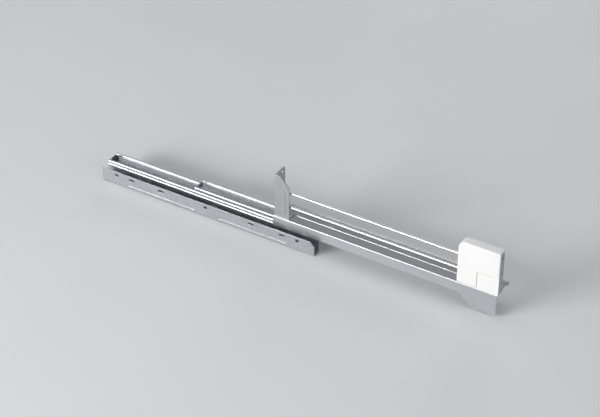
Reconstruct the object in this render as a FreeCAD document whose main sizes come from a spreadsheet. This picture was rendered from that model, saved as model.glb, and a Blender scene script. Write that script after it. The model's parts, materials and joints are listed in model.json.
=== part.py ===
import FreeCAD, Part
import math
import os
import Sketcher

# Concealed ball-bearing drawer slide with side channel, gallery rods and front bracket.
# Left-hand unit.  +X pull-out direction, +Y inward to the drawer, +Z up, millimetres.
# Origin: middle hole of the row of three wall fixing holes, on the face that lies on the cabinet side.

doc = FreeCAD.newDocument("drawer_slide")
sheet = doc.addObject("Spreadsheet::Sheet", "Dims")

TABLE = [
    # placing of the sections
    ("front_x", 581.0), ("side_y", 13.0), ("top_z", 27.0), ("rail_mid_y", 32.0),
    # sheet metal
    ("sheet_t", 1.2), ("mount_t", 1.5), ("bracket_t", 1.8), ("bend_r", 1.0), ("bend_out", 1.6),
    # ball races
    ("ball_r", 1.6), ("race_r", 1.9), ("race_half", 11.9), ("lip_in", 0.8),
    ("cab_web_z", 7.5), ("low_ball_z", 11.4), ("mid_top_z", 16.0), ("up_ball_z", 19.85), ("draw_top_z", 25.8),
    # lengths and rest positions along the travel
    ("mount_len", 450.0), ("mount_x", -223.0), ("cab_len", 446.0), ("cab_x", -221.0),
    ("mid_len", 430.0), ("mid_x", -33.0), ("draw_len", 430.0), ("draw_x", 147.0),
    ("cage_len", 190.0), ("low_cage_x", 1.0), ("up_cage_x", 177.0),
    ("ball_pitch", 12.0), ("ball_count", 15), ("ball_first", 11.0),
    # cabinet mounting profile
    ("wall_low", -21.0), ("wall_high", 7.5), ("web_y", 17.0), ("shelf_y", 41.5),
    ("wall_hole_r", 3.3), ("wall_pitch", 192.0),
    # rivets
    ("rivet_r", 1.95), ("rivet_hole_r", 2.0), ("rivet_head_r", 2.9), ("rivet_head_t", 1.0),
    # side channel, ledge, trim
    ("chan_len", 445.2), ("chan_drop", 20.0), ("flange_w", 21.0), ("bead_up", 1.0),
    ("deep_z", 45.0), ("deep_x", 51.0), ("slope_x", 75.0), ("deep_r", 4.0),
    ("ledge_y", 21.3), ("ledge_end_y", 46.0), ("ledge_drop", 9.0),
    ("trim_w", 4.0), ("trim_drop", 7.0),
    # gallery rods
    ("rod_r", 2.5), ("rod_y", 9.0), ("rod_low_z", 23.5), ("rod_up_z", 54.0), ("rod_len", 380.0), ("rod_front", 56.0),
    ("socket_r", 2.55), ("socket_w", 10.0), ("socket_len", 16.0),
    # front bracket and covers
    ("cover_len", 80.0), ("cover_h", 88.5), ("cover_w", 18.0), ("cover_t", 1.8), ("cover_r", 15.0), ("cover_edge", 2.0),
    ("rod_notch_r", 2.9), ("cap_w", 42.0), ("cap_h", 36.0), ("cap_gap", 0.7), ("cap_set", 0.3),
    ("plate_y", 2.2), ("panel_hole_r", 2.6), ("panel_hole_y", 10.5), ("panel_hole_z", 42.0), ("hole_pitch", 32.0),
    ("cam_bore_r", 4.5), ("cam_journal_r", 4.44), ("cam_disc_r", 7.0), ("cam_offset", 1.0), ("cam_z", 20.0), ("cam_a_x", 31.0), ("cam_b_x", 13.0),
    # rear bracket
    ("rear_x", 445.0), ("rear_h", 88.0), ("rear_w", 36.0), ("rear_hole_y", 26.0), ("rear_hole_z", 16.0), ("rear_hole_r", 2.25),
    # soft close
    ("soft_x", -220.0), ("soft_len", 100.0), ("soft_in_y", 42.0), ("soft_low", -18.0), ("soft_high", 4.6),
    ("damp_r", 3.6), ("damp_z", -13.0), ("damp_y", 33.0), ("damp_rod_r", 1.2),
    ("spring_r", 2.8), ("wire_r", 0.4), ("spring_turns", 19),
    ("peg_r", 2.5), ("peg_z", 1.0),
]
for row, (alias, value) in enumerate(TABLE, start=1):
    sheet.set("A%d" % row, alias.replace("_", " "))
    sheet.set("B%d" % row, str(value))
    sheet.setAlias("B%d" % row, alias)
doc.recompute()


class Q:
    """A size: its value now and the sheet expression it comes from."""

    def __init__(self, text, value):
        self.s, self.v = text, float(value)

    def __add__(self, o):
        o = q(o)
        return Q("(%s + %s)" % (self.s, o.s), self.v + o.v)

    __radd__ = __add__

    def __sub__(self, o):
        o = q(o)
        return Q("(%s - %s)" % (self.s, o.s), self.v - o.v)

    def __rsub__(self, o):
        return q(o) - self

    def __mul__(self, o):
        o = q(o)
        return Q("(%s * %s)" % (self.s, o.s), self.v * o.v)

    __rmul__ = __mul__

    def __truediv__(self, o):
        o = q(o)
        return Q("(%s / %s)" % (self.s, o.s), self.v / o.v)

    def __neg__(self):
        return Q("(0 - %s)" % self.s, -self.v)


def q(value):
    return value if isinstance(value, Q) else Q("(%.6f)" % float(value), value)


class Sizes:
    def __getattr__(self, alias):
        return Q("Dims." + alias, float(sheet.get(alias)))


D = Sizes()
parts = []


def body(label, x=0.0, y=0.0, z=0.0):
    """A sub-part drawn about its own reference point and placed by the sheet."""
    b = doc.addObject("PartDesign::Body", label)
    b.Label = label
    if hasattr(b, "AllowCompound"):
        b.AllowCompound = True
    for axis, value in (("x", x), ("y", y), ("z", z)):
        b.setExpression("Placement.Base." + axis, q(value).s)
    parts.append(b)
    return b


# ---------- outlines ----------
def poly(points, radii=None):
    """Closed outline of straight sides; radii rounds the corners that have one."""
    n = len(points)
    pts = [(q(a), q(b)) for a, b in points]
    radii = radii if isinstance(radii, (list, tuple)) else [radii] * n
    out = []
    for i in range(n):
        p, a, c, r = pts[i], pts[i - 1], pts[(i + 1) % n], radii[i]
        if r is None:
            out.append((p[0], p[1], None))
            continue
        r = q(r)
        ux, uy = a[0].v - p[0].v, a[1].v - p[1].v
        vx, vy = c[0].v - p[0].v, c[1].v - p[1].v
        lu, lv = math.hypot(ux, uy), math.hypot(vx, vy)
        ux, uy, vx, vy = ux / lu, uy / lu, vx / lv, vy / lv
        half = math.acos(max(-1.0, min(1.0, ux * vx + uy * vy))) / 2
        reach = 1.0 / math.tan(half)
        bx, by = ux + vx, uy + vy
        lb = math.hypot(bx, by)
        far = 1.0 / math.sin(half)
        centre = (p[0] + r * (bx / lb * far), p[1] + r * (by / lb * far))
        turn_left = (-ux) * vy - (-uy) * vx > 0
        out.append((p[0] + r * (ux * reach), p[1] + r * (uy * reach), (centre[0], centre[1], r, turn_left)))
        out.append((p[0] + r * (vx * reach), p[1] + r * (vy * reach), None))
    return out


def box(x0, x1, y0, y1, r=None):
    return poly([(x0, y0), (x1, y0), (x1, y1), (x0, y1)], r)


def ribbon(path, thick, inner):
    """Outline of bent sheet that follows a centre line."""
    pts = [(q(a), q(b)) for a, b in path]
    n = len(pts)
    thick, inner = q(thick), q(inner)
    dirs = []
    for i in range(n - 1):
        dx, dy = pts[i + 1][0].v - pts[i][0].v, pts[i + 1][1].v - pts[i][1].v
        length = math.hypot(dx, dy)
        dirs.append((dx / length, dy / length))
    sides = {1: [], -1: []}
    for i in range(n):
        a = dirs[max(i - 1, 0)]
        b = dirs[min(i, n - 2)]
        na, nb = (-a[1], a[0]), (-b[1], b[0])
        mx, my = na[0] + nb[0], na[1] + nb[1]
        k = 2.0 / (mx * mx + my * my)
        turn = a[0] * b[1] - a[1] * b[0]
        for side in (1, -1):
            point = (pts[i][0] + thick * (side * 0.5 * mx * k), pts[i][1] + thick * (side * 0.5 * my * k))
            radius = None
            if i not in (0, n - 1) and abs(turn) > 1e-6:
                radius = inner if turn * side > 0 else inner + thick
            sides[side].append((point, radius))
    ring = sides[1] + sides[-1][::-1]
    return poly([p for p, _ in ring], [r for _, r in ring])


def mirrored(half):
    """Closed outline from its right half; the ends of the half join straight across."""
    n = len(half)
    out = [(q(a), q(b), s) for a, b, s in half]
    back = []
    for i in range(n - 1, -1, -1):
        a, b, _ = half[i]
        seg = half[i - 1][2] if i > 0 else None
        if seg is not None:
            seg = (-q(seg[0]), seg[1], seg[2], seg[3])
        back.append((-q(a), q(b), seg))
    return out + back


def circle(cx, cy, r):
    return ("circle", q(cx), q(cy), q(r))


ORIENT = {"XY": "XY_Plane", "XZ": "XZ_Plane", "YZ": "YZ_Plane"}


def sketch(b, name, plane, outlines, offset):
    planes = {f.Role: f for f in b.Origin.OriginFeatures}
    sk = b.newObject("Sketcher::SketchObject", name)
    sk.AttachmentSupport = [(planes[ORIENT[plane]], "")]
    sk.MapMode = "FlatFace"
    sk.setExpression("AttachmentOffset.Base.z", q(offset).s)
    for outline in outlines:
        if outline[0] == "circle":
            _, cx, cy, r = outline
            g = sk.addGeometry(Part.Circle(FreeCAD.Vector(cx.v, cy.v, 0), FreeCAD.Vector(0, 0, 1), r.v), False)
            for kind, value in (("DistanceX", cx), ("DistanceY", cy)):
                c = sk.addConstraint(Sketcher.Constraint(kind, -1, 1, g, 3, value.v))
                sk.setExpression("Constraints[%d]" % c, value.s)
            c = sk.addConstraint(Sketcher.Constraint("Radius", g, r.v))
            sk.setExpression("Constraints[%d]" % c, r.s)
            continue
        n = len(outline)
        ids = []
        for i in range(n):
            x0, y0, seg = outline[i]
            x1, y1, _ = outline[(i + 1) % n]
            a, c = FreeCAD.Vector(x0.v, y0.v, 0), FreeCAD.Vector(x1.v, y1.v, 0)
            if seg is None:
                ids.append((sk.addGeometry(Part.LineSegment(a, c), False), 1, 2, None))
                continue
            cx, cy, r, left = seg
            cx, cy, r = q(cx), q(cy), q(r)
            t0 = math.atan2(y0.v - cy.v, x0.v - cx.v)
            t1 = math.atan2(y1.v - cy.v, x1.v - cx.v)
            if not left:
                t0, t1 = t1, t0
            while t1 <= t0:
                t1 += 2 * math.pi
            ring = Part.Circle(FreeCAD.Vector(cx.v, cy.v, 0), FreeCAD.Vector(0, 0, 1), r.v)
            g = sk.addGeometry(Part.ArcOfCircle(ring, t0, t1), False)
            ids.append((g, 1, 2, r) if left else (g, 2, 1, r))
        for i in range(n):
            g, _, end, r = ids[i]
            h, start, _, _ = ids[(i + 1) % n]
            sk.addConstraint(Sketcher.Constraint("Coincident", g, end, h, start))
        for i in range(n):
            g, start, _, r = ids[i]
            for kind, value in (("DistanceX", outline[i][0]), ("DistanceY", outline[i][1])):
                c = sk.addConstraint(Sketcher.Constraint(kind, -1, 1, g, start, value.v))
                sk.setExpression("Constraints[%d]" % c, value.s)
            if r is not None:
                x0, y0, seg = outline[i]
                x1, y1, _ = outline[(i + 1) % n]
                if abs(math.hypot(x1.v - x0.v, y1.v - y0.v) - 2 * r.v) < 1e-6:
                    cx = q(seg[0])
                    c = sk.addConstraint(Sketcher.Constraint("DistanceX", -1, 1, g, 3, cx.v))
                    sk.setExpression("Constraints[%d]" % c, cx.s)
                    continue
                c = sk.addConstraint(Sketcher.Constraint("Radius", g, r.v))
                sk.setExpression("Constraints[%d]" % c, r.s)
    doc.recompute()
    return sk


def as_list(outlines):
    if isinstance(outlines, tuple) or (outlines and isinstance(outlines[0], tuple) and len(outlines[0]) == 3):
        return [outlines]
    return outlines


def volume(b):
    return b.Shape.Volume if not b.Shape.isNull() else 0.0


def pad(b, name, plane, outlines, low, high):
    low, high = q(low), q(high)
    sk = sketch(b, name + "_outline", plane, as_list(outlines), -high if plane == "XZ" else low)
    before = volume(b)
    f = b.newObject("PartDesign::Pad", name)
    f.Profile = sk
    f.setExpression("Length", (high - low).s)
    b.Tip = f
    doc.recompute()
    assert volume(b) > before, "%s added nothing" % name
    return f


def cut(b, name, plane, outlines, low, high):
    low, high = q(low), q(high)
    if plane == "XZ":
        offset = -low
    else:
        offset = high
    sk = sketch(b, name + "_outline", plane, as_list(outlines), offset)
    before = volume(b)
    f = b.newObject("PartDesign::Pocket", name)
    f.Profile = sk
    f.setExpression("Length", (high - low).s)
    b.Tip = f
    doc.recompute()
    assert volume(b) < before - 1e-3, "%s removed nothing" % name
    return f


def spin(b, name, half, plane="XZ", axis="V_Axis", offset=0.0, groove=False):
    sk = sketch(b, name + "_outline", plane, [half], offset)
    before = volume(b)
    f = b.newObject("PartDesign::Groove" if groove else "PartDesign::Revolution", name)
    f.Profile = sk
    f.ReferenceAxis = (sk, [axis])
    f.Angle = 360
    b.Tip = f
    doc.recompute()
    assert abs(volume(b) - before) > 1e-3, "%s changed nothing" % name
    return f


def repeat(b, feature, name, axis, length, count):
    """Copies along an origin axis; count copies spread over length."""
    lines = {f.Role: f for f in b.Origin.OriginFeatures}
    f = b.newObject("PartDesign::LinearPattern", name)
    f.Originals = [feature]
    f.Direction = (lines[axis], [""])
    f.setExpression("Length", q(length).s)
    f.setExpression("Occurrences", q(count).s)
    b.Tip = f
    doc.recompute()
    return f


def soften(b, name, pick, radius):
    """Rounds every edge that pick accepts."""
    names = ["Edge%d" % (i + 1) for i, e in enumerate(b.Tip.Shape.Edges) if pick(e)]
    assert names, "%s found no edge" % name
    tip = b.Tip
    f = b.newObject("PartDesign::Fillet", name)
    f.Base = (tip, names)
    f.setExpression("Radius", q(radius).s)
    b.Tip = f
    doc.recompute()
    return f


def edge_at(check):
    def pick(e):
        box_ = e.BoundBox
        return check(box_)
    return pick


S60, C60 = math.sin(math.radians(60)), 0.5
K = math.sqrt(0.5)


def cup_section(web_z, ball_z):
    """Rolled rail that opens upward; its sides curl round the balls."""
    b_, rr, t = D.race_half, D.race_r, D.sheet_t
    wall = b_ + rr * C60
    low = math.sqrt(1 - ((C60 * rr.v + t.v) / (rr.v + t.v)) ** 2)
    return mirrored([
        (wall - 0.4, web_z + t, (wall - 0.4, web_z + t + 0.4, 0.4, True)),
        (wall, web_z + t + 0.4, None),
        (wall, ball_z - rr * S60, (b_, ball_z, rr, True)),
        (b_, ball_z + rr, None),
        (b_ - D.lip_in, ball_z + rr, None),
        (b_ - D.lip_in, ball_z + rr + t, None),
        (b_, ball_z + rr + t, (b_, ball_z, rr + t, False)),
        (wall + t, ball_z - (rr + t) * low, None),
        (wall + t, web_z + D.bend_out, (wall + t - D.bend_out, web_z + D.bend_out, D.bend_out, False)),
        (wall + t - D.bend_out, web_z, None),
    ])


def hat_section(top_z, ball_z):
    """Rolled rail that hangs down; its flanges are grooved outward for the balls."""
    b_, rr, t = D.race_half, D.race_r, D.sheet_t
    out = b_ - rr * K
    foot = math.sqrt(1 - (K * rr.v / (rr.v + t.v)) ** 2)
    high = math.sqrt(1 - ((K * rr.v + t.v) / (rr.v + t.v)) ** 2)
    return mirrored([
        (out - D.bend_out, top_z, (out - D.bend_out, top_z - D.bend_out, D.bend_out, False)),
        (out, top_z - D.bend_out, None),
        (out, ball_z + rr * K, (b_, ball_z, rr, True)),
        (out, ball_z - rr * K, None),
        (b_ - (rr + t) * foot, ball_z - rr * K, (b_, ball_z, rr + t, False)),
        (out - t, ball_z + (rr + t) * high, None),
        (out - t, top_z - t - 0.4, (out - t - 0.4, top_z - t - 0.4, 0.4, True)),
        (out - t - 0.4, top_z - t, None),
    ])


# ==================== fixed to the cabinet ====================
t, mt, bt = D.sheet_t, D.mount_t, D.bracket_t

b = body("cabinet_angle", D.mount_x)
pad(b, "angle_profile", "YZ", ribbon([
    (mt / 2, D.wall_high), (mt / 2, D.wall_low + mt / 2), (D.web_y + mt / 2, D.wall_low + mt / 2),
    (D.web_y + mt / 2, D.cab_web_z - mt / 2), (D.shelf_y, D.cab_web_z - mt / 2)], mt, D.bend_r), 0, D.mount_len)
first = -D.mount_x - D.wall_pitch
f = cut(b, "wall_hole", "XZ", circle(first, 0, D.wall_hole_r), -1, mt + 1)
repeat(b, f, "wall_hole_row", "X_Axis", D.wall_pitch * 2, 3)
f = cut(b, "shelf_rivet_hole", "XY", circle(30, D.rail_mid_y, D.rivet_hole_r), D.cab_web_z - mt - 1, D.cab_web_z + 1)
repeat(b, f, "shelf_rivet_row", "X_Axis", 390, 5)
cut(b, "end_relief", "XZ", [poly([(D.mount_len - 9, D.wall_high + 1), (D.mount_len + 1, D.wall_high + 1), (D.mount_len + 1, D.wall_high - 9)])], -1, mt + 1)
for i, x0 in enumerate((first + 22, first + D.wall_pitch + 22)):
    cut(b, "rib_groove_%d" % i, "XZ", box(x0, x0 + D.wall_pitch - 44, -14, -7.5, 3.2), 0, 0.8)
    pad(b, "rib_raised_%d" % i, "XZ", box(x0 + 0.4, x0 + D.wall_pitch - 44.4, -13.6, -7.9, 2.8), mt, mt + 0.8)
for i, x0 in enumerate((-160, -96, 96, 160)):
    cut(b, "wall_slot_%d" % i, "XZ", box(first + D.wall_pitch + x0 - 6, first + D.wall_pitch + x0 + 6, -2.2, 2.2, 2.19), -1, mt + 1)
cut(b, "soft_rivet_hole", "XZ", [circle(15, -3, 1.6), circle(90, -3, 1.6)], D.web_y - 1, D.web_y + mt + 1)

b = body("cabinet_rail", D.cab_x, D.rail_mid_y)
pad(b, "rail_profile", "YZ", cup_section(D.cab_web_z, D.low_ball_z), 0, D.cab_len)
f = cut(b, "rail_rivet_hole", "XY", circle(D.mount_x - D.cab_x + 30, 0, D.rivet_hole_r), D.cab_web_z - 1, D.cab_web_z + t + 1)
repeat(b, f, "rail_rivet_row", "X_Axis", 390, 5)


def rivet(label, x, y, low, high, length, count, heads_up=False, row2=None):
    """A row of rivets: flush at one face of the joint, a low head at the other."""
    b = body(label, x, y)
    r, hr, ht = D.rivet_r, D.rivet_head_r, D.rivet_head_t
    low, high = q(low), q(high)
    if heads_up:
        half = [(0, low), (r, low), (r, high), (hr, high), (hr - 0.5, high + ht), (0, high + ht)]
    else:
        half = [(0, low - ht), (hr - 0.5, low - ht), (hr, low), (r, low), (r, high), (0, high)]
    f = spin(b, label + "_turned", poly(half))
    if count > 1:
        repeat(b, f, label + "_row", "X_Axis", length, count)
    return b


rivet("cabinet_rail_rivets", D.mount_x + 30, D.rail_mid_y, D.cab_web_z - mt, D.cab_web_z + t, 390, 5)

b = body("cabinet_front_stop", D.cab_x + D.cab_len - 7, D.rail_mid_y)
pad(b, "stop_block", "YZ", box(-7.5, 7.5, D.cab_web_z + t, D.cab_web_z + t + 4.6, 1.2), 0, 6)
soften(b, "stop_round", edge_at(lambda e: e.ZMin > 12.9 and e.XLength < 0.01), 0.6)

b = body("cabinet_rear_stop", D.cab_x + 0.5, D.rail_mid_y)
pad(b, "buffer_foot", "YZ", box(-7.5, 7.5, D.cab_web_z + t, D.cab_web_z + t + 4.6, 1.2), 0, 7)
pad(b, "buffer_nose", "YZ", box(-5.0, 5.0, D.cab_web_z + t + 1, D.cab_web_z + t + 3.8, 1.0), 0, 10)

# soft-close unit under the rail
hx, hl = D.soft_x, D.soft_len
b = body("soft_close_housing", hx)
pad(b, "housing_block", "XZ", box(0, hl, D.soft_low, D.soft_high, 2.0), D.web_y + mt, D.soft_in_y)
cut(b, "carriage_track", "XZ", box(4, hl - 4, -8, 2.4, 1.0), 29, D.soft_in_y + 1)
cut(b, "damper_bay", "XZ", box(2, hl - 6, -17, -8.5), 28.5, D.soft_in_y + 1)
cut(b, "arm_slot", "XZ", box(44, hl - 6, -9, -7), 29, D.soft_in_y + 1)
cut(b, "fixing_hole", "XZ", [circle(12, -3, 1.6), circle(87, -3, 1.6)], D.web_y + mt - 1, 30)

b = body("soft_close_screws", D.mount_x)
for i, sx in enumerate((15.0, 90.0)):
    pad(b, "screw_shank_%d" % i, "XZ", circle(sx, -3, 1.55), D.web_y - 0.2, 29.2)
    pad(b, "screw_head_%d" % i, "XZ", circle(sx, -3, 2.8), 29.0, 30.0)
    pad(b, "screw_flare_%d" % i, "XZ", circle(sx, -3, 2.4), D.web_y - 1.1, D.web_y - 0.02)

b = body("damper_cylinder", hx + 2.3, D.damp_y, D.damp_z)
pad(b, "cylinder_tube", "YZ", circle(0, 0, D.damp_r), 0, 45)
cut(b, "cylinder_bore", "YZ", circle(0, 0, 1.9), 2, 44)
cut(b, "rod_hole", "YZ", circle(0, 0, D.damp_rod_r + 0.06), 43, 46)
soften(b, "cylinder_ends", edge_at(lambda e: e.XLength < 0.01 and e.YLength > 7.0), 0.5)

b = body("closing_spring", hx + 5, 35.5, -3)
sk = sketch(b, "wire_outline", "XZ", [circle(0, D.spring_r, D.wire_r)], 0)
f = b.newObject("PartDesign::AdditiveHelix", "coil")
f.Profile = sk
f.ReferenceAxis = (sk, ["H_Axis"])
f.Mode = 0
f.setExpression("Pitch", "3.0")
f.setExpression("Height", (D.spring_turns * 3.0 - 0.2).s)
b.Tip = f
doc.recompute()

# ---------- catch carriage, moves 40 mm ----------
b = body("catch_carriage", -156)
pad(b, "carriage_block", "XZ", box(0, 28, -7.7, 2.1, 1.2), 30.3, 41.7)
pad(b, "carriage_arm", "XZ", box(24, 28, -16, -7), 30.3, 35.8)
pad(b, "pawl_boss", "XZ", circle(20, -5, 1.45), 41.5, 45.0)
cut(b, "weight_pocket", "XZ", box(4, 14, -5.5, 0, 1.0), 36, 43)
b = body("damper_rod", -175, D.damp_y, D.damp_z)
pad(b, "rod_bar", "YZ", circle(0, 0, D.damp_rod_r), 0, 42.9)
pad(b, "piston_disc", "YZ", circle(0, 0, 1.82), 0, 1)

b = body("catch_pawl", -156)
pad(b, "pawl_plate", "XZ", poly([(-4, -9.5), (25, -9.5), (25, -2.2), (12, -2.2), (11.5, -7.2), (0.5, -7.2), (0, -2.2), (-4, -2.2)],
                                [1.5, 3, 3, 0.6, 0.6, 0.6, 0.6, 0.6]), 42.2, 44.6)
cut(b, "pawl_bore", "XZ", circle(20, -5, 1.5), 42, 45)

# ==================== ball cages ====================
def cage(label, x, web_z, ball_z):
    b = body(label, x, D.rail_mid_y)
    u = D.race_half - 0.6
    pad(b, "cage_strip", "YZ", ribbon([(-u, ball_z + 1.5), (-u, web_z + 0.35), (u, web_z + 0.35), (u, ball_z + 1.5)], 0.7, 0.3), 0, D.cage_len)
    f = cut(b, "ball_pocket", "XZ", circle(D.ball_first, ball_z, D.ball_r + 0.15), -13, 13)
    repeat(b, f, "ball_pocket_row", "X_Axis", D.ball_pitch * (D.ball_count - 1), D.ball_count)
    f = cut(b, "web_window", "XY", box(D.ball_first + 3, D.ball_first + 9, -7, 7, 1.0), web_z - 1, web_z + 1)
    repeat(b, f, "web_window_row", "X_Axis", D.ball_pitch * (D.ball_count - 2), D.ball_count - 1)


def balls(label, x, ball_z):
    b = body(label, x + D.ball_first, D.rail_mid_y)
    disc = [(q(0), ball_z - D.ball_r, (q(0), ball_z, D.ball_r, True)), (q(0), ball_z + D.ball_r, None)]
    one = spin(b, "ball_left", disc, offset=-D.race_half)
    two = spin(b, "ball_right", disc, offset=D.race_half)
    f = repeat(b, one, "ball_rows", "X_Axis", D.ball_pitch * (D.ball_count - 1), D.ball_count)
    f.Originals = [one, two]
    doc.recompute()


cage("lower_ball_cage", D.low_cage_x, D.cab_web_z + t + 0.3, D.low_ball_z)
balls("lower_balls", D.low_cage_x, D.low_ball_z)
cage("upper_ball_cage", D.up_cage_x, D.mid_top_z + t + 0.3, D.up_ball_z)
balls("upper_balls", D.up_cage_x, D.up_ball_z)

# ==================== intermediate rail ====================
b = body("intermediate_lower_rail", D.mid_x, D.rail_mid_y)
pad(b, "rail_profile", "YZ", hat_section(D.mid_top_z, D.low_ball_z), 0, D.mid_len)
f = cut(b, "rail_rivet_hole", "XY", circle(25, 0, D.rivet_hole_r), D.mid_top_z - t - 1, D.mid_top_z + 1)
repeat(b, f, "rail_rivet_row", "X_Axis", 380, 6)
b = body("intermediate_upper_rail", D.mid_x, D.rail_mid_y)
pad(b, "rail_profile", "YZ", cup_section(D.mid_top_z, D.up_ball_z), 0, D.mid_len)
f = cut(b, "rail_rivet_hole", "XY", circle(25, 0, D.rivet_hole_r), D.mid_top_z - 1, D.mid_top_z + t + 1)
repeat(b, f, "rail_rivet_row", "X_Axis", 380, 6)
rivet("intermediate_rivets", D.mid_x + 25, D.rail_mid_y, D.mid_top_z - t, D.mid_top_z + t, 380, 6)
b = body("intermediate_front_stop", D.mid_x + D.mid_len - 3.6, D.rail_mid_y)
pad(b, "stop_block", "YZ", box(-7.5, 7.5, D.mid_top_z + t, D.mid_top_z + t + 4.4, 1.0), 0, 3.4)
b = body("intermediate_rear_stop", D.mid_x + 0.2, D.rail_mid_y)
pad(b, "stop_block", "YZ", box(-7.5, 7.5, D.mid_top_z + t, D.mid_top_z + t + 4.4, 1.0), 0, 3.4)

# ==================== drawer side ====================
FX, SY, TZ = D.front_x, D.side_y, D.top_z

b = body("drawer_rail", D.draw_x, D.rail_mid_y)
pad(b, "rail_profile", "YZ", hat_section(D.draw_top_z, D.up_ball_z), 0, D.draw_len)
f = cut(b, "side_rivet_hole", "XY", [circle(38, -5, D.rivet_hole_r), circle(38, 5.8, D.rivet_hole_r)], D.draw_top_z - t - 1, D.draw_top_z + 1)
repeat(b, f, "side_rivet_row", "X_Axis", 300, 4)
cut(b, "bracket_rivet_hole", "XY", [circle(7, -6.2, D.rivet_hole_r), circle(376, -6.2, D.rivet_hole_r), circle(414, -6.2, D.rivet_hole_r)],
    D.draw_top_z - t - 1, D.draw_top_z + 1)

b = body("side_channel", FX, SY, TZ)
ce = q(0) - 1.8
cs = ce - D.chan_len
pad(b, "channel_profile", "YZ", ribbon([(t / 2, -D.chan_drop), (t / 2, -t / 2), (D.flange_w - t / 2, -t / 2), (D.flange_w - t / 2, D.bead_up)], t, 0.6), cs, ce)
pad(b, "deep_front", "XZ", poly([(-D.slope_x - 2, -D.chan_drop + 2), (ce, -D.chan_drop + 2), (ce, -D.deep_z), (-D.deep_x, -D.deep_z), (-D.slope_x, -D.chan_drop)],
                                [None, None, 2.0, D.deep_r, D.deep_r]), 0, t)
row0 = D.draw_x + 38 - FX
f = cut(b, "stud_seat", "XY", circle(row0, D.rail_mid_y - 5 - SY, D.rivet_hole_r), -t - 1, -0.4)
repeat(b, f, "stud_seat_row", "X_Axis", 300, 4)
ry = D.rail_mid_y - 6.2 - SY
cut(b, "bracket_rivet_hole", "XY", [circle(D.draw_x + 7 - FX, ry, D.rivet_hole_r), circle(D.draw_x + 376 - FX, ry, D.rivet_hole_r),
                                    circle(D.draw_x + 414 - FX, ry, D.rivet_hole_r)], -t - 1, 1)

b = body("base_ledge", FX, SY, TZ)
pad(b, "ledge_profile", "YZ", ribbon([(D.ledge_y, -t / 2), (D.ledge_end_y - t / 2, -t / 2), (D.ledge_end_y - t / 2, -D.ledge_drop)], t, 0.6), cs + 4.1, ce)
f = cut(b, "stud_seat", "XY", circle(row0, D.rail_mid_y + 5.8 - SY, D.rivet_hole_r), -t - 1, -0.4)
repeat(b, f, "stud_seat_row", "X_Axis", 300, 4)
cut(b, "trip_rivet_hole", "XY", [circle(-427, 41, D.rivet_hole_r), circle(-417, 41, D.rivet_hole_r)], -t - 1, 1)

b = body("ledge_edge_trim", FX, SY, TZ)
w, tw = D.ledge_end_y + t / 2, D.ledge_end_y + D.trim_w - t / 2
pad(b, "trim_profile", "YZ", ribbon([(w, -D.trim_drop), (w, -t / 2), (tw, -t / 2), (tw, -D.trim_drop)], t, 0.4), cs, ce)

rivet("channel_studs", D.draw_x + 38, D.rail_mid_y - 5, D.draw_top_z - t, TZ - 0.42, 300, 4)
rivet("ledge_studs", D.draw_x + 38, D.rail_mid_y + 5.8, D.draw_top_z - t, TZ - 0.42, 300, 4)
rivet("front_bracket_rivets", D.draw_x + 376, D.rail_mid_y - 6.2, D.draw_top_z - t, TZ + bt, 38, 2)
rivet("rear_bracket_rivet", D.draw_x + 7, D.rail_mid_y - 6.2, D.draw_top_z - t, TZ + bt, 0, 1)

for label, z in (("gallery_rod_lower", D.rod_low_z), ("gallery_rod_upper", D.rod_up_z)):
    b = body(label, FX - D.rod_front - D.rod_len, SY + D.rod_y, TZ + z)
    pad(b, "rod_bar", "YZ", circle(0, 0, D.rod_r), 0, D.rod_len)
    soften(b, "rod_ends", lambda e: True if abs(e.Length - 2 * math.pi * D.rod_r.v) < 0.1 else False, 0.6)

half_w = D.socket_w / 2
for label, x0, bore0, bore1 in (("front_rod_sockets", -66, -66.5, -54), ("rear_rod_sockets", -443.2, -438, -426)):
    b = body(label, FX, SY, TZ)
    for i, z in enumerate((D.rod_low_z, D.rod_up_z)):
        pad(b, "socket_%d" % i, "YZ", box(D.rod_y - half_w, D.rod_y + half_w, z - half_w, z + half_w, 1.0), x0, q(x0) + D.socket_len)
        cut(b, "socket_bore_%d" % i, "YZ", circle(D.rod_y, z, D.socket_r), bore0, bore1)

# front bracket of pressed steel
py = D.plate_y
b = body("front_bracket", FX, SY, TZ)
pad(b, "side_plate", "XZ", poly([(-72, 0), (0, 0), (0, 86), (-58, 86), (-72, 72)], [None, None, None, 5.0, 5.0]), py, py + bt)
pad(b, "front_flange", "YZ", box(py, 16, 0, 86), -bt, 0)
pad(b, "foot_flange", "XY", box(-70, 0, py, 16), 0, bt)
f = cut(b, "panel_hole", "YZ", circle(D.panel_hole_y, D.panel_hole_z, D.panel_hole_r), -bt - 1, 1)
repeat(b, f, "panel_hole_row", "Z_Axis", D.hole_pitch, 2)
cut(b, "cam_bore", "XZ", [circle(-D.cam_a_x, D.cam_z, D.cam_bore_r), circle(-D.cam_b_x, D.cam_z, D.cam_bore_r)], py - 1, py + bt + 0.1)
cut(b, "cap_post_hole", "XZ", [circle(-38, 33.2, 1.6), circle(-5.5, 5.5, 1.6)], py - 1, py + bt + 0.1)
cut(b, "foot_rivet_hole", "XY", [circle(D.draw_x + 376 - FX, ry, D.rivet_hole_r), circle(D.draw_x + 414 - FX, ry, D.rivet_hole_r)], -1, bt + 0.5)

b = body("adjuster_retainer", FX, SY, TZ)
pad(b, "retainer_profile", "YZ", ribbon([(py + bt, 9.6), (8.3, 9.6), (8.3, 30.4), (py + bt, 30.4)], 1.4, 0.6), -41, -3)
cut(b, "stub_bore", "XZ", [circle(-D.cam_a_x, D.cam_z, 3.0), circle(-D.cam_b_x, D.cam_z, 3.0)], 7, 10)

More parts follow.
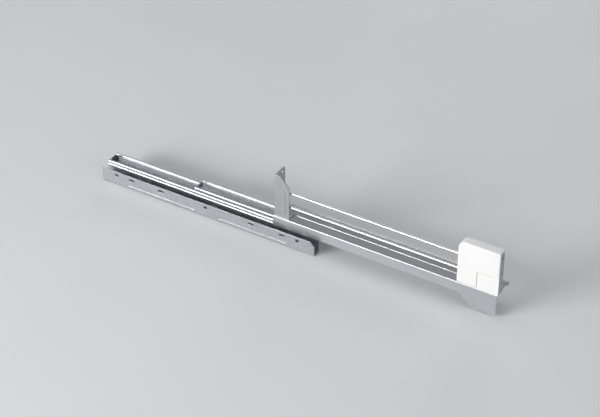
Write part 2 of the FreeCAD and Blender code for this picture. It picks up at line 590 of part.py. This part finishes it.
for label, x, cross, disc in (("height_adjuster", D.cam_a_x, True, (0, D.cam_offset)), ("tilt_adjuster", D.cam_b_x, False, (D.cam_offset, 0))):
    b = body(label, FX - x, SY, TZ + D.cam_z)
    pad(b, "journal", "XZ", circle(0, 0, D.cam_journal_r), py + 0.2, py + bt + 0.5)
    pad(b, "cam_disc", "XZ", circle(disc[0], disc[1], D.cam_disc_r), py + bt + 0.3, 7.2)
    pad(b, "rear_stub", "XZ", circle(0, 0, 2.94), 7, 9.3)
    cut(b, "driver_slot", "XZ", box(-2.8, 2.8, -0.6, 0.6), py, py + 1.6)
    if cross:
        cut(b, "driver_cross", "XZ", box(-0.6, 0.6, -2.8, 2.8), py, py + 1.6)

# covers
CL, CH, CW, CT, CR = D.cover_len, D.cover_h, D.cover_w, D.cover_t, D.cover_r
seam = CW / 2


def cover(label, low, high, face, inner_low, inner_high):
    b = body(label, FX, SY, TZ)
    pad(b, "shell_block", "XZ", poly([(-CL, 0), (0, 0), (0, CH), (-CL, CH)], [1.5, None, 2.5, CR]), low, high)
    soften(b, "shell_round", edge_at(lambda e: e.YLength < 0.01 and abs(e.YMin - face) < 0.01 and not (e.XLength < 0.01 and e.XMin > -1)
                                     and not (e.ZLength < 0.01 and e.ZMin < 1)), D.cover_edge)
    cut(b, "shell_hollow", "XZ", poly([(-CL + CT, -1), (1, -1), (1, CH - CT), (-CL + CT, CH - CT)], [None, None, None, CR - CT]), inner_low, inner_high)
    cut(b, "rod_notch", "YZ", [circle(D.rod_y, D.rod_low_z, D.rod_notch_r), circle(D.rod_y, D.rod_up_z, D.rod_notch_r)], -CL - 1, -CL + CT + 1)
    return b


b = cover("cover_outer", 0, seam, 0.0, CT, seam + 1)
cut(b, "cap_window", "XZ", poly([(-D.cap_w, -1), (1, -1), (1, D.cap_h), (-D.cap_w, D.cap_h)], [None, None, None, 3.0]), -1, CT + 0.2)
b = cover("cover_inner", seam, CW, 18.0, seam - 1, CW - CT)

b = body("cover_cap", FX, SY, TZ)
g = D.cap_gap
pad(b, "cap_plate", "XZ", poly([(g - D.cap_w, 0), (0, 0), (0, D.cap_h - g), (g - D.cap_w, D.cap_h - g)], [None, None, None, 2.7]), D.cap_set, CT - 0.1)
soften(b, "cap_round", edge_at(lambda e: e.YLength < 0.01 and abs(e.YMin - 0.3) < 0.01 and not (e.XLength < 0.01 and e.XMin > -1)
                               and not (e.ZLength < 0.01 and e.ZMin < 0.5)), 0.5)
pad(b, "cap_posts", "XZ", [circle(-38, 33.2, 1.54), circle(-5.5, 5.5, 1.54)], 1.5, py + bt + 0.5)

# rear bracket
b = body("rear_bracket", FX, SY, TZ)
rx = -D.rear_x
pad(b, "side_plate", "XZ", poly([(rx, 0), (rx + 30, 0), (rx + 30, D.rear_h - 22), (rx + 12, D.rear_h), (rx, D.rear_h)], [None, 2.0, 4.0, 4.0, None]), py, py + bt)
pad(b, "panel_plate", "YZ", poly([(py, 1.4), (D.rear_w, 1.4), (D.rear_w, D.rear_h), (py, D.rear_h)], [None, 3.0, 6.0, None]), rx, rx + bt)
pad(b, "foot_flange", "XY", box(rx, rx + 30, py, 18), 0, bt)
cut(b, "side_rib_groove", "XZ", box(rx + 21.5, rx + 26.5, 8, 58, 2.4), py, py + 0.7)
pad(b, "side_rib_raised", "XZ", box(rx + 21.9, rx + 26.1, 8.4, 57.6, 2.0), py + bt, py + bt + 0.7)
cut(b, "panel_rib_groove", "YZ", box(18.6, 22.6, 12, 76, 1.9), rx, rx + 0.7)
pad(b, "panel_rib_raised", "YZ", box(19.0, 22.2, 12.4, 75.6, 1.5), rx + bt, rx + bt + 0.7)
f = cut(b, "panel_hole", "YZ", circle(D.rear_hole_y, D.rear_hole_z, D.rear_hole_r), rx - 1, rx + bt + 1)
repeat(b, f, "panel_hole_row", "Z_Axis", D.hole_pitch * 2, 3)
cut(b, "foot_rivet_hole", "XY", circle(D.draw_x + 7 - FX, ry, D.rivet_hole_r), -1, bt + 0.5)

# tab that works the soft-close catch
b = body("catch_trip", FX, SY, TZ)
pad(b, "tab_profile", "YZ", ribbon([(43.8, -t - 0.75), (35.75, -t - 0.75), (35.75, -30)], 1.5, 0.6), -432, -412)
cut(b, "tab_rivet_hole", "XY", [circle(-427, 41, D.rivet_hole_r), circle(-417, 41, D.rivet_hole_r)], -t - 2.5, -t + 0.5)
pad(b, "trip_peg", "XZ", circle(-422, D.peg_z - TZ, D.peg_r), 29.3, 35.5)
b = rivet("trip_rivets", FX - 427, SY + 41, TZ - t - 1.5, TZ, 10, 2)

# ==================== check and write ====================
doc.recompute()
bad = []
for o in doc.Objects:
    if any(word in o.State for word in ("Invalid", "Error")):
        bad.append("%s %s" % (o.Name, o.State))
for b in parts:
    if b.Shape.isNull() or not b.Shape.isValid() or not b.Shape.Solids:
        bad.append(b.Label + " has no valid solid")
if bad:
    raise RuntimeError("; ".join(bad))
os.makedirs("parts", exist_ok=True)
for b in parts:
    b.Shape.exportStep("parts/" + b.Label + ".step")
    e = b.Shape.BoundBox
    print("%-26s %2d solids  x %.1f..%.1f  y %.1f..%.1f  z %.1f..%.1f" % (b.Label, len(b.Shape.Solids), e.XMin, e.XMax, e.YMin, e.YMax, e.ZMin, e.ZMax))
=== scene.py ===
import json
import math
import random

import bmesh
import bpy
from mathutils import Matrix, Vector


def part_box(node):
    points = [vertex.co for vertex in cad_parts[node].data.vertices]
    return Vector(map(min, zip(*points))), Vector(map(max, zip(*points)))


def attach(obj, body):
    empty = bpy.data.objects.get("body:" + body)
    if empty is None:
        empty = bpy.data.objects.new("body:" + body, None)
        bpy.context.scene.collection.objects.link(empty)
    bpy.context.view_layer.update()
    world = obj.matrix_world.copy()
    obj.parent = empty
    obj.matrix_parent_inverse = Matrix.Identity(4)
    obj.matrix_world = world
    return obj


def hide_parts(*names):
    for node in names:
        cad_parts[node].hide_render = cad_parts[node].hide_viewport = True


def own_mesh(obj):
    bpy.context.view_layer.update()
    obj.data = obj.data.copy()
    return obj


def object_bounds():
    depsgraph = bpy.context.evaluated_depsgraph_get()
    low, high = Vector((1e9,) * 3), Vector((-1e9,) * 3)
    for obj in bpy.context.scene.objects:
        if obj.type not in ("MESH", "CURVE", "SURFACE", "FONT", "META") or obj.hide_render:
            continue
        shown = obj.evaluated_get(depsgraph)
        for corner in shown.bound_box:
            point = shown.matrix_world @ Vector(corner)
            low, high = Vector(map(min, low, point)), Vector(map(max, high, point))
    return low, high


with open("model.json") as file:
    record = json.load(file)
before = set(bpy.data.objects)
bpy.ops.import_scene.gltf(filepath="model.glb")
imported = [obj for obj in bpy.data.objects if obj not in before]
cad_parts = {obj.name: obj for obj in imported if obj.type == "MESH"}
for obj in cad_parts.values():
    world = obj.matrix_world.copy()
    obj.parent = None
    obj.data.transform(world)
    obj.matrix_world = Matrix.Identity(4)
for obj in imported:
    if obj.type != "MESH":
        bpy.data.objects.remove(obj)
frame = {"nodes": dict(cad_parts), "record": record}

CAD_LOW, CAD_HIGH = [list(v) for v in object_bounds()]
nodes = frame["nodes"]
record = frame["record"]
scene = bpy.context.scene
random.seed(7)


# ---------------------------------------------------------------- material tools
class Net:
    """A material's node tree, with short calls for the nodes used here."""

    def __init__(self, name):
        self.mat = bpy.data.materials.new(name)
        self.mat.use_nodes = True
        self.nt = self.mat.node_tree
        self.bsdf = self.nt.nodes["Principled BSDF"]
        self.coord = self.nt.nodes.new("ShaderNodeTexCoord")

    def link(self, a, b):
        self.nt.links.new(a, b)
        return b

    def put(self, name, value):
        self.bsdf.inputs[name].default_value = value

    def mapping(self, scale=(1, 1, 1), rot=(0, 0, 0), loc=(0, 0, 0), source="Object"):
        m = self.nt.nodes.new("ShaderNodeMapping")
        m.inputs["Scale"].default_value = scale
        m.inputs["Rotation"].default_value = rot
        m.inputs["Location"].default_value = loc
        self.link(self.coord.outputs[source], m.inputs["Vector"])
        return m.outputs["Vector"]

    def noise(self, scale, detail=3.0, rough=0.55, stretch=(1, 1, 1), distort=0.0):
        n = self.nt.nodes.new("ShaderNodeTexNoise")
        n.inputs["Scale"].default_value = scale
        n.inputs["Detail"].default_value = detail
        n.inputs["Roughness"].default_value = rough
        n.inputs["Distortion"].default_value = distort
        self.link(self.mapping(stretch), n.inputs["Vector"])
        return n.outputs["Fac"]

    def voronoi(self, scale, stretch=(1, 1, 1), feature="F1"):
        n = self.nt.nodes.new("ShaderNodeTexVoronoi")
        n.feature = feature
        n.inputs["Scale"].default_value = scale
        self.link(self.mapping(stretch), n.inputs["Vector"])
        return n

    def ramp(self, fac, stops, mode="LINEAR"):
        r = self.nt.nodes.new("ShaderNodeValToRGB")
        r.color_ramp.interpolation = mode
        el = r.color_ramp.elements
        while len(el) < len(stops):
            el.new(0.5)
        for e, (pos, col) in zip(el, stops):
            e.position = pos
            e.color = (col[0], col[1], col[2], 1) if isinstance(col, (tuple, list)) else (col, col, col, 1)
        self.link(fac, r.inputs["Fac"])
        return r.outputs["Color"]

    def math(self, op, a, b=0.5, clamp=False):
        m = self.nt.nodes.new("ShaderNodeMath")
        m.operation = op
        m.use_clamp = clamp
        for k, v in enumerate((a, b)):
            if isinstance(v, (int, float)):
                m.inputs[k].default_value = v
            else:
                self.link(v, m.inputs[k])
        return m.outputs[0]

    def span(self, fac, low, high, to_low, to_high):
        m = self.nt.nodes.new("ShaderNodeMapRange")
        self.link(fac, m.inputs["Value"])
        for k, v in (("From Min", low), ("From Max", high), ("To Min", to_low), ("To Max", to_high)):
            m.inputs[k].default_value = v
        return m.outputs["Result"]

    def mix(self, fac, a, b, blend="MIX"):
        m = self.nt.nodes.new("ShaderNodeMix")
        m.data_type = "RGBA"
        m.blend_type = blend
        slots = {"Factor": fac, "A": a, "B": b}
        for s in m.inputs:
            if s.name == "Factor" and s.type == "VALUE" and fac is not None:
                if isinstance(fac, (int, float)):
                    s.default_value = fac
                else:
                    self.link(fac, s)
            elif s.name in ("A", "B") and s.type == "RGBA":
                v = slots[s.name]
                if isinstance(v, (tuple, list)):
                    s.default_value = (v[0], v[1], v[2], 1)
                else:
                    self.link(v, s)
        return [o for o in m.outputs if o.type == "RGBA"][0]

    def bump(self, height, strength, distance, normal=None):
        b = self.nt.nodes.new("ShaderNodeBump")
        b.inputs["Strength"].default_value = strength
        b.inputs["Distance"].default_value = distance
        self.link(height, b.inputs["Height"])
        if normal is not None:
            self.link(normal, b.inputs["Normal"])
        return b.outputs["Normal"]

    def soft_edge(self, radius):
        b = self.nt.nodes.new("ShaderNodeBevel")
        b.samples = 4
        b.inputs["Radius"].default_value = radius
        return b.outputs["Normal"]

    def edge_mask(self, radius):
        """1 along edges, 0 on the flats."""
        g = self.nt.nodes.new("ShaderNodeNewGeometry")
        d = self.nt.nodes.new("ShaderNodeVectorMath")
        d.operation = "DOT_PRODUCT"
        self.link(self.soft_edge(radius), d.inputs[0])
        self.link(g.outputs["Normal"], d.inputs[1])
        return self.span(d.outputs["Value"], 0.98, 0.80, 0.0, 1.0)

    def colour(self, value):
        self.link(value, self.bsdf.inputs["Base Color"])

    def rough(self, value):
        self.link(value, self.bsdf.inputs["Roughness"])

    def normal(self, value):
        self.link(value, self.bsdf.inputs["Normal"])


def shade(c, k):
    return tuple(max(0.0, min(1.0, v * k)) for v in c)


def rolled_steel(name, base, rough=0.3, spangle=0.05, streak=0.06, along=(3, 240, 240), edge=0.0005, edge_highlight=1.18, top_gloss=None, metal=1.0):
    """Sheet or rolled steel: lines along the rolling direction, zinc spangle, and edges brightened in colour as a
    painted highlight.
    """
    n = Net(name)
    n.put("Metallic", metal)
    lines = n.noise(6.0, 4.0, 0.6, along)
    fine = n.noise(22.0, 3.0, 0.6, along)
    cloud = n.noise(16.0, 4.0, 0.55)
    cells = n.voronoi(260.0)
    tone = n.ramp(lines, [(0.3, shade(base, 1 - streak)), (0.7, shade(base, 1 + streak))])
    cell = n.ramp(cells.outputs["Color"], [(0.0, 1 - spangle), (1.0, 1.0)])
    tone = n.mix(1.0, tone, cell, "MULTIPLY")
    tone = n.mix(n.span(cloud, 0.45, 0.75, 0.0, 0.35), tone, shade(base, 0.86))
    # painted highlight: the edge mask brightens the colour along every edge
    mask = n.edge_mask(edge)
    tone = n.mix(mask, tone, shade(base, edge_highlight))
    n.colour(tone)
    r = n.span(fine, 0.3, 0.7, rough - 0.05, rough + 0.07)
    smear = n.span(n.noise(28.0, 5.0, 0.6, (1, 2.2, 1.5)), 0.52, 0.7, 0.0, 0.10)
    r = n.math("ADD", r, smear)
    if top_gloss is not None:
        sep = n.nt.nodes.new("ShaderNodeSeparateXYZ")
        n.link(n.coord.outputs["Normal"], sep.inputs[0])
        up = n.span(sep.outputs["Z"], 0.7, 0.95, 0.0, 1.0)
        r = n.math("SUBTRACT", r, n.math("MULTIPLY", up, top_gloss), clamp=True)
    n.rough(r)
    n.normal(n.bump(n.mix(0.4, lines, fine), 0.18, 0.00008, n.soft_edge(edge)))
    return n.mat


def plated(name, base, rough=0.07):
    """Bright chrome plate: almost a mirror, with faint handling marks."""
    n = Net(name)
    n.put("Metallic", 1.0)
    cloud = n.noise(40.0, 5.0, 0.6, (0.6, 1, 1))
    n.colour(n.ramp(cloud, [(0.35, shade(base, 0.96)), (0.65, shade(base, 1.03))]))
    marks = n.noise(160.0, 4.0, 0.7, (0.5, 1.5, 1.5))
    n.rough(n.math("ADD", n.span(cloud, 0.3, 0.7, rough, rough + 0.05), n.span(marks, 0.6, 0.75, 0.0, 0.08)))
    n.normal(n.bump(n.noise(900.0, 2.0, 0.5, (0.1, 1, 1)), 0.05, 0.00004, n.soft_edge(0.0004)))
    return n.mat


def moulded(name, base, rough=0.42, grain=2600.0, depth=0.12, edge=0.0006, coat=0.0, dirt=0.06, bright=1.06):
    """Injection-moulded plastic: fine spark-eroded grain, slight cloudiness, polished edges that are glossier and
    also carry a painted highlight, a brighter colour along the edges.
    """
    n = Net(name)
    n.put("Metallic", 0.0)
    n.put("IOR", 1.50)
    n.put("Coat Weight", coat)
    n.put("Coat Roughness", 0.25)
    cloud = n.noise(24.0, 5.0, 0.55)
    flow = n.noise(9.0, 3.0, 0.5, (1, 1, 3))
    tone = n.ramp(cloud, [(0.3, shade(base, 1 - dirt)), (0.62, base)])
    tone = n.mix(n.span(flow, 0.45, 0.7, 0.0, 0.5), tone, shade(base, 1.02))
    # painted highlight: the edge mask brightens the colour along every edge, besides making it glossier
    mask = n.edge_mask(edge)
    tone = n.mix(mask, tone, shade(base, bright))
    n.colour(tone)
    g = n.noise(grain, 2.0, 0.5)
    r = n.math("ADD", n.span(cloud, 0.3, 0.7, rough - 0.04, rough + 0.05), n.span(g, 0.4, 0.6, 0.0, 0.04))
    r = n.math("SUBTRACT", r, n.math("MULTIPLY", mask, 0.08))
    n.rough(r)
    n.normal(n.bump(g, depth, 0.00006, n.soft_edge(edge)))
    return n.mat


def rubbery(name, base):
    n = Net(name)
    n.put("Specular IOR Level", 0.35)
    cloud = n.noise(60.0, 4.0, 0.6)
    n.colour(n.ramp(cloud, [(0.3, shade(base, 0.8)), (0.7, shade(base, 1.5))]))
    n.rough(n.span(cloud, 0.3, 0.7, 0.62, 0.78))
    n.normal(n.bump(n.noise(1800.0, 2.0), 0.2, 0.0001, n.soft_edge(0.0006)))
    return n.mat


COLOURS = {m["slot"]: tuple(m["base_color"][:3]) for m in record["materials"]}
SIDE = (0.56, 0.575, 0.60)
mats = {
    "zinc_steel": rolled_steel("zinc_steel_look", (0.56, 0.58, 0.605), 0.30, 0.16, 0.10, metal=0.85),
    "bracket_steel": rolled_steel("bracket_steel_look", (0.50, 0.515, 0.53), 0.34, 0.12, 0.07, along=(60, 90, 14), metal=0.85),
    "rivet_steel": rolled_steel("rivet_steel_look", (0.66, 0.67, 0.68), 0.24, 0.02, 0.04, along=(80, 80, 80), edge=0.0003),
    "silver_paint": rolled_steel("side_silver_look", SIDE, 0.30, 0.02, 0.03, edge=0.0006, edge_highlight=1.45, top_gloss=0.18, metal=0.75),
    "ledge_steel": rolled_steel("ledge_bright_look", (0.60, 0.61, 0.615), 0.22, 0.03, 0.05, top_gloss=0.06),
    "trim_aluminium": rolled_steel("trim_dull_look", (0.66, 0.66, 0.65), 0.42, 0.02, 0.05, edge=0.0005, edge_highlight=1.12),
    "chrome": plated("chrome_look", (0.55, 0.56, 0.57), 0.06),
    "white_plastic": moulded("white_cover_look", (0.87, 0.87, 0.865), 0.38, coat=0.10, dirt=0.02, edge=0.0009, bright=1.03),
    "grey_plastic": moulded("grey_nylon_look", (0.16, 0.165, 0.17), 0.48, 2000.0, 0.2),
    "pale_plastic": moulded("pale_acetal_look", (0.58, 0.58, 0.55), 0.40, 1800.0, 0.1),
    "buffer_rubber": rubbery("buffer_rubber_look", (0.03, 0.03, 0.03)),
    "bearing_steel": plated("ball_look", (0.78, 0.79, 0.80), 0.05),
    "spring_steel": rolled_steel("spring_wire_look", (0.42, 0.43, 0.45), 0.32, 0.0, 0.1, along=(400, 400, 400), edge=0.0001),
    "damper_aluminium": rolled_steel("damper_tube_look", (0.62, 0.63, 0.65), 0.28, 0.0, 0.05, along=(4, 300, 300), edge=0.0004),
    "polished_rod": plated("piston_rod_look", (0.80, 0.81, 0.82), 0.08),
    "zamak": rolled_steel("die_cast_look", (0.58, 0.58, 0.59), 0.38, 0.03, 0.04, along=(120, 120, 120), edge=0.0004),
}
slot_of = {s["node"]: s["material_slot"] for s in record["subparts"]}
for name, obj in nodes.items():
    obj.data.materials.clear()
    obj.data.materials.append(mats[slot_of[name]])

# ---------------------------------------------------------------- closing spring
def tube(name, path, radius, sides=10):
    """A round wire along a path of points, closed at both ends."""
    bm = bmesh.new()
    rings = []
    count = len(path)
    for i, p in enumerate(path):
        a, b = path[max(i - 1, 0)], path[min(i + 1, count - 1)]
        along = (b - a).normalized()
        side = along.cross(Vector((1, 0, 0)))
        side = side.normalized() if side.length > 1e-6 else Vector((0, 1, 0))
        other = along.cross(side).normalized()
        rings.append([bm.verts.new(p + (side * math.cos(2 * math.pi * k / sides) + other * math.sin(2 * math.pi * k / sides)) * radius) for k in range(sides)])
    for a, b in zip(rings, rings[1:]):
        for k in range(sides):
            bm.faces.new((a[k], a[(k + 1) % sides], b[(k + 1) % sides], b[k]))
    bm.faces.new(rings[0][::-1])
    bm.faces.new(rings[-1])
    bmesh.ops.recalc_face_normals(bm, faces=bm.faces)
    me = bpy.data.meshes.new(name)
    bm.to_mesh(me)
    bm.free()
    for poly in me.polygons:
        poly.use_smooth = len(poly.vertices) == 4
    o = bpy.data.objects.new(name, me)
    scene.collection.objects.link(o)
    return o


# It pushes on the carriage; the coil is built as one fixed mesh reaching from the spring's end to the carriage.
s_low, s_high = [Vector(v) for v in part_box("closing_spring")]
wire = 0.0004
coil_r = (s_high.z - s_low.z) / 2 - wire
start_x, end_x = s_low.x + wire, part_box("catch_carriage")[0].x - 0.0001 - wire
mid_y, mid_z = (s_low.y + s_high.y) / 2, (s_low.z + s_high.z) / 2
turns, dead = 19.0, 1.5
path = []
steps = int(turns * 24)
for i in range(steps + 1):
    turn = turns * i / steps
    pitch_dead = 2 * wire * 1.05
    live = (end_x - start_x - 2 * dead * pitch_dead) / (turns - 2 * dead)
    if turn < dead:
        x = pitch_dead * turn
    elif turn < turns - dead:
        x = pitch_dead * dead + live * (turn - dead)
    else:
        x = pitch_dead * dead + live * (turns - 2 * dead) + pitch_dead * (turn - turns + dead)
    a = 2 * math.pi * turn
    path.append(Vector((start_x + x, mid_y + coil_r * math.sin(a), mid_z + coil_r * math.cos(a))))
spring = tube("closing_spring_wire", path, wire)
spring.data.materials.append(mats["spring_steel"])
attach(spring, "cabinet")
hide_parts("closing_spring")
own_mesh(spring)

# ---------------------------------------------------------------- stage
low, high = Vector(CAD_LOW), Vector(CAD_HIGH)
floor_z = low.z - 0.0003


def floor_mesh():
    """A pale sweep: flat under the slide, rising far behind it."""
    bm = bmesh.new()
    rows = []
    depth = [(-7.0, 0.0), (3.2, 0.0)]
    for k in range(1, 13):
        a = math.radians(90 * k / 12)
        depth.append((3.2 + 2.2 * math.sin(a), 2.2 * (1 - math.cos(a))))
    depth.append((5.4, 7.0))
    for y, z in depth:
        rows.append([bm.verts.new((x, y, floor_z + z)) for x in (-9.0, -3.0, 0.0, 3.0, 9.0)])
    for a, b in zip(rows, rows[1:]):
        for i in range(4):
            bm.faces.new((a[i], a[i + 1], b[i + 1], b[i]))
    me = bpy.data.meshes.new("floor_sweep")
    bm.to_mesh(me)
    bm.free()
    for p in me.polygons:
        p.use_smooth = True
    o = bpy.data.objects.new("floor_sweep", me)
    scene.collection.objects.link(o)
    return o


floor = floor_mesh()
f = Net("floor_look")
f.put("Metallic", 0.0)
f.colour(f.ramp(f.noise(1.4, 4.0), [(0.3, (0.765, 0.77, 0.775)), (0.7, (0.80, 0.80, 0.805))]))
f.rough(f.span(f.noise(7.0, 4.0), 0.3, 0.7, 0.55, 0.68))
floor.data.materials.append(f.mat)

# ---------------------------------------------------------------- light
world = bpy.data.worlds.new("studio")
scene.world = world
world.use_nodes = True
wn = world.node_tree
bg = wn.nodes["Background"]
tc = wn.nodes.new("ShaderNodeTexCoord")
sx = wn.nodes.new("ShaderNodeSeparateXYZ")
wr = wn.nodes.new("ShaderNodeValToRGB")
mr = wn.nodes.new("ShaderNodeMapRange")
mr.inputs["From Min"].default_value = -1.0
wn.links.new(tc.outputs["Generated"], sx.inputs[0])
wn.links.new(sx.outputs["Z"], mr.inputs["Value"])
wn.links.new(mr.outputs["Result"], wr.inputs["Fac"])
el = wr.color_ramp.elements
el[0].position, el[0].color = 0.0, (0.42, 0.42, 0.43, 1)
el[1].position, el[1].color = 1.0, (0.70, 0.71, 0.73, 1)
e = el.new(0.50); e.color = (0.34, 0.345, 0.35, 1)
e = el.new(0.62); e.color = (0.50, 0.505, 0.515, 1)
e = el.new(0.80); e.color = (0.27, 0.28, 0.285, 1)
wn.links.new(wr.outputs["Color"], bg.inputs["Color"])
bg.inputs["Strength"].default_value = 0.62


def area(name, at, to, size, power, colour=(1, 1, 1), size_y=None):
    data = bpy.data.lights.new(name, "AREA")
    data.shape = "RECTANGLE"
    data.size, data.size_y = size, size_y or size
    data.energy, data.color = power, colour
    o = bpy.data.objects.new(name, data)
    o.location = at
    o.rotation_mode = "QUATERNION"
    o.rotation_quaternion = (Vector(to) - Vector(at)).to_track_quat("-Z", "Y")
    scene.collection.objects.link(o)
    return o


mid = (low + high) / 2
area("key_left", (-1.5, -2.9, 1.05), mid, 2.0, 112, (1.0, 0.995, 0.985), 0.9)
area("top_soft", (0.2, 0.7, 2.9), mid, 2.8, 10, (0.985, 0.99, 1.0), 1.5)
area("front_strip", (3.0, -0.6, 1.1), mid, 0.5, 14, (1, 1, 1), 2.0)
area("back_fill", (-0.6, 3.0, 1.1), mid, 1.6, 13, (0.985, 0.99, 1.0), 0.6)

# ---------------------------------------------------------------- camera
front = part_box("front_bracket")[1].x
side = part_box("side_channel")[0].y
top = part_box("base_ledge")[1].z
eye = Vector((front + 1.285, side - 2.938, top + 2.536))
aim = Vector((mid.x, mid.y, mid.z))
back = (eye - aim).normalized()
right = Vector((0, 0, 1)).cross(back).normalized()
up = back.cross(right)
roll = math.radians(0.94)
r2 = right * math.cos(roll) + up * math.sin(roll)
u2 = -right * math.sin(roll) + up * math.cos(roll)
cam_data = bpy.data.cameras.new("camera")
cam = bpy.data.objects.new("camera", cam_data)
scene.collection.objects.link(cam)
cam.matrix_world = Matrix((
    (r2.x, u2.x, back.x, eye.x), (r2.y, u2.y, back.y, eye.y), (r2.z, u2.z, back.z, eye.z), (0, 0, 0, 1)))
cam_data.sensor_width = 36.0
cam_data.lens = 36.0 * 2384.5 / 600.0
cam_data.clip_start, cam_data.clip_end = 0.05, 60.0
scene.camera = cam
scene.view_settings.view_transform = "Standard"
scene.view_settings.look = "None"
